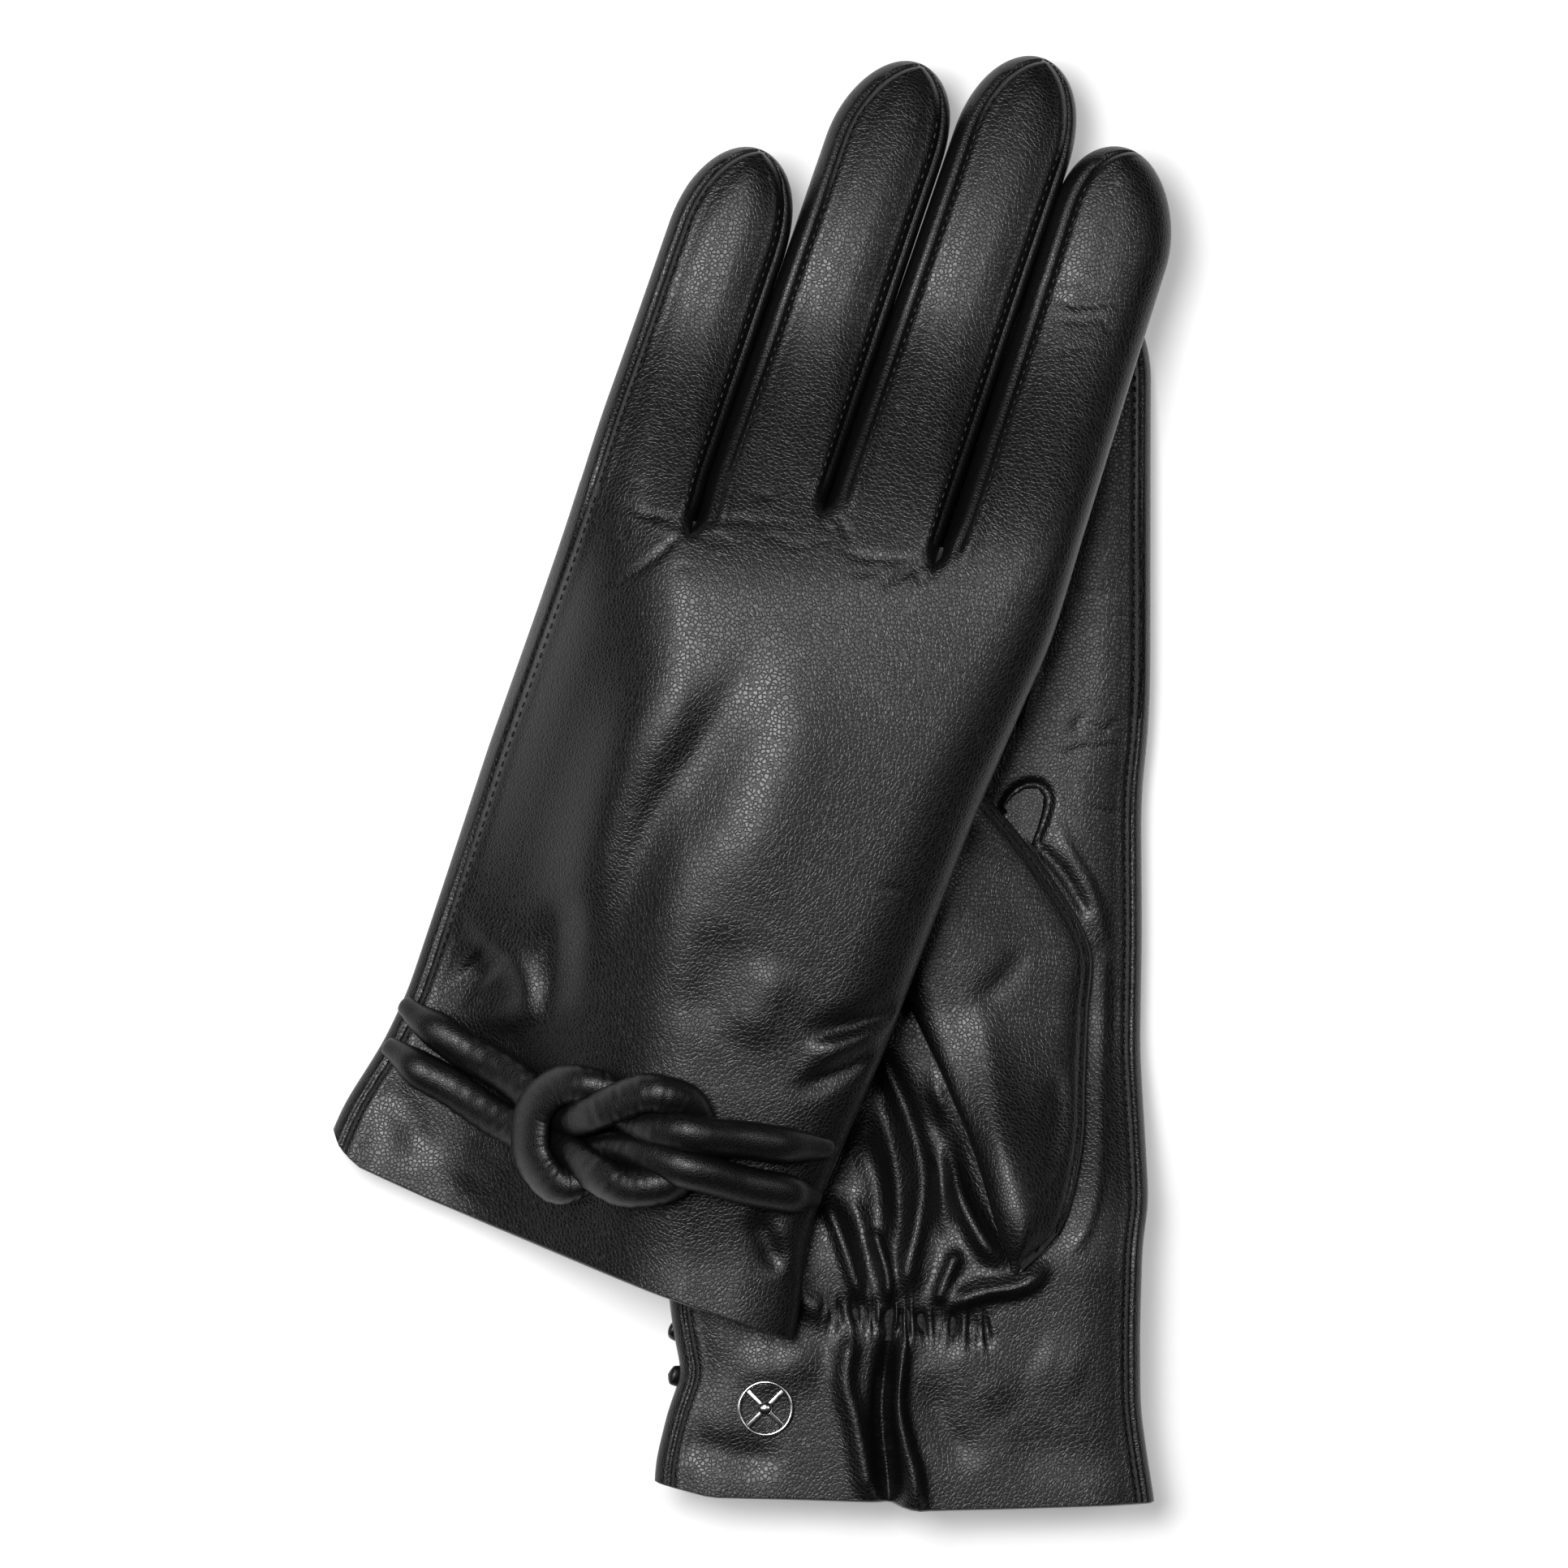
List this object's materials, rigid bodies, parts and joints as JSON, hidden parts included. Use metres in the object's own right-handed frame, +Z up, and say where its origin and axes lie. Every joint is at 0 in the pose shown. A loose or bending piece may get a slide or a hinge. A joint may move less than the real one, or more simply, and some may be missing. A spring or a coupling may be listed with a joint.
{
  "type": "pair of leather gloves",
  "caption": "Pair of lined leather dress gloves stored flat, one across the other, with a knotted cord bow on each cuff and folded thumbs that swing out.",
  "frame": {"origin": "centre of the pair's footprint, on the table the pair lies on", "axes": "+Z up from the table, +Y towards the fingertips along the lower glove, +X towards the index finger side"},
  "size_m": [0.1663, 0.2818, 0.054],
  "materials": {
    "glove_leather": "soft satin black, fine grain",
    "strip_leather": "soft satin black, fine grain",
    "cord_leather": "soft satin black, stretched over a padded core",
    "knit_lining": "fine matt black knit",
    "elastic": "woven black elastic tape",
    "badge_metal": "polished pale metal"
  },
  "bodies": {
    "lower_hand": {"lower_back_panel": "glove_leather", "lower_palm_panel": "glove_leather", "lower_side_welts": "strip_leather", "lower_crotch_gussets": "strip_leather", "lower_thumb_quirk": "strip_leather", "lower_cuff_facing": "glove_leather", "lower_hand_lining": "knit_lining", "lower_elastic_tape": "elastic", "lower_knot_cord_little_side": "cord_leather", "lower_knot_cord_index_side": "cord_leather", "lower_badge": "badge_metal", "lower_badge_backplate": "badge_metal"},
    "lower_thumb": {"lower_thumb_sleeve": "glove_leather", "lower_thumb_lining": "knit_lining"},
    "lower_little": {"lower_little_back": "glove_leather", "lower_little_front": "glove_leather", "lower_little_fourchette": "strip_leather", "lower_little_lining": "knit_lining"},
    "lower_ring": {"lower_ring_back": "glove_leather", "lower_ring_front": "glove_leather", "lower_ring_fourchettes": "strip_leather", "lower_ring_lining": "knit_lining"},
    "lower_middle": {"lower_middle_back": "glove_leather", "lower_middle_front": "glove_leather", "lower_middle_fourchettes": "strip_leather", "lower_middle_lining": "knit_lining"},
    "lower_index": {"lower_index_back": "glove_leather", "lower_index_front": "glove_leather", "lower_index_fourchette": "strip_leather", "lower_index_lining": "knit_lining"},
    "upper_hand": {"upper_back_panel": "glove_leather", "upper_palm_panel": "glove_leather", "upper_side_welts": "strip_leather", "upper_crotch_gussets": "strip_leather", "upper_thumb_quirk": "strip_leather", "upper_cuff_facing": "glove_leather", "upper_hand_lining": "knit_lining", "upper_elastic_tape": "elastic", "upper_knot_cord_little_side": "cord_leather", "upper_knot_cord_index_side": "cord_leather", "upper_badge": "badge_metal", "upper_badge_backplate": "badge_metal"},
    "upper_thumb": {"upper_thumb_sleeve": "glove_leather", "upper_thumb_lining": "knit_lining"},
    "upper_little": {"upper_little_back": "glove_leather", "upper_little_front": "glove_leather", "upper_little_fourchette": "strip_leather", "upper_little_lining": "knit_lining"},
    "upper_ring": {"upper_ring_back": "glove_leather", "upper_ring_front": "glove_leather", "upper_ring_fourchettes": "strip_leather", "upper_ring_lining": "knit_lining"},
    "upper_middle": {"upper_middle_back": "glove_leather", "upper_middle_front": "glove_leather", "upper_middle_fourchettes": "strip_leather", "upper_middle_lining": "knit_lining"},
    "upper_index": {"upper_index_back": "glove_leather", "upper_index_front": "glove_leather", "upper_index_fourchette": "strip_leather", "upper_index_lining": "knit_lining"}
  },
  "joints": [
    {"name": "lower_thumb_swing", "type": "hinge", "parent": "lower_hand", "child": "lower_thumb", "pos_m": [0.0518, -0.0922, 0.017], "axis": [0, 0, 1], "range_deg": [-55, 0]},
    {"name": "lower_index_fan", "type": "hinge", "parent": "lower_hand", "child": "lower_index", "pos_m": [0.0793, 0.012, 0.0065], "axis": [0, 0, 1], "range_deg": [-10, 0]},
    {"name": "lower_middle_fan", "type": "hinge", "parent": "lower_hand", "child": "lower_middle", "pos_m": [0.0532, 0.012, 0.0065], "axis": [0, 0, 1], "range_deg": [-3.5, 0]},
    {"name": "lower_ring_fan", "type": "hinge", "parent": "lower_hand", "child": "lower_ring", "pos_m": [0.0054, 0.012, 0.0065], "axis": [0, 0, 1], "range_deg": [0, 3.5]},
    {"name": "lower_little_fan", "type": "hinge", "parent": "lower_hand", "child": "lower_little", "pos_m": [-0.0187, 0.0004, 0.0065], "axis": [0, 0, 1], "range_deg": [0, 10]},
    {"name": "upper_glove_lift", "type": "slide", "parent": "lower_hand", "child": "upper_hand", "axis": [0, 0, 1], "range_m": [0, 0.12]},
    {"name": "upper_thumb_swing", "type": "hinge", "parent": "upper_hand", "child": "upper_thumb", "pos_m": [0.00021, -0.0527, 0.025], "axis": [0, 0, 1], "range_deg": [-55, 0]},
    {"name": "upper_index_lift", "type": "hinge", "parent": "upper_hand", "child": "upper_index", "pos_m": [0.04904, 0.04084, 0.04193], "axis": [0.9511, -0.309, 0], "range_deg": [0, 35]},
    {"name": "upper_middle_lift", "type": "hinge", "parent": "upper_hand", "child": "upper_middle", "pos_m": [0.02555, 0.04939, 0.04081], "axis": [0.9511, -0.309, 0], "range_deg": [0, 35]},
    {"name": "upper_ring_lift", "type": "hinge", "parent": "upper_hand", "child": "upper_ring", "pos_m": [0.00366, 0.05736, 0.03881], "axis": [0.9511, -0.309, 0], "range_deg": [0, 35]},
    {"name": "upper_little_lift", "type": "hinge", "parent": "upper_hand", "child": "upper_little", "pos_m": [-0.02211, 0.05439, 0.03963], "axis": [0.9511, -0.309, 0], "range_deg": [0, 35]}
  ],
  "couplings": [
    {"joint": "lower_middle_fan", "follows": "lower_index_fan", "ratio": 0.35},
    {"joint": "lower_ring_fan", "follows": "lower_little_fan", "ratio": 0.35}
  ]
}
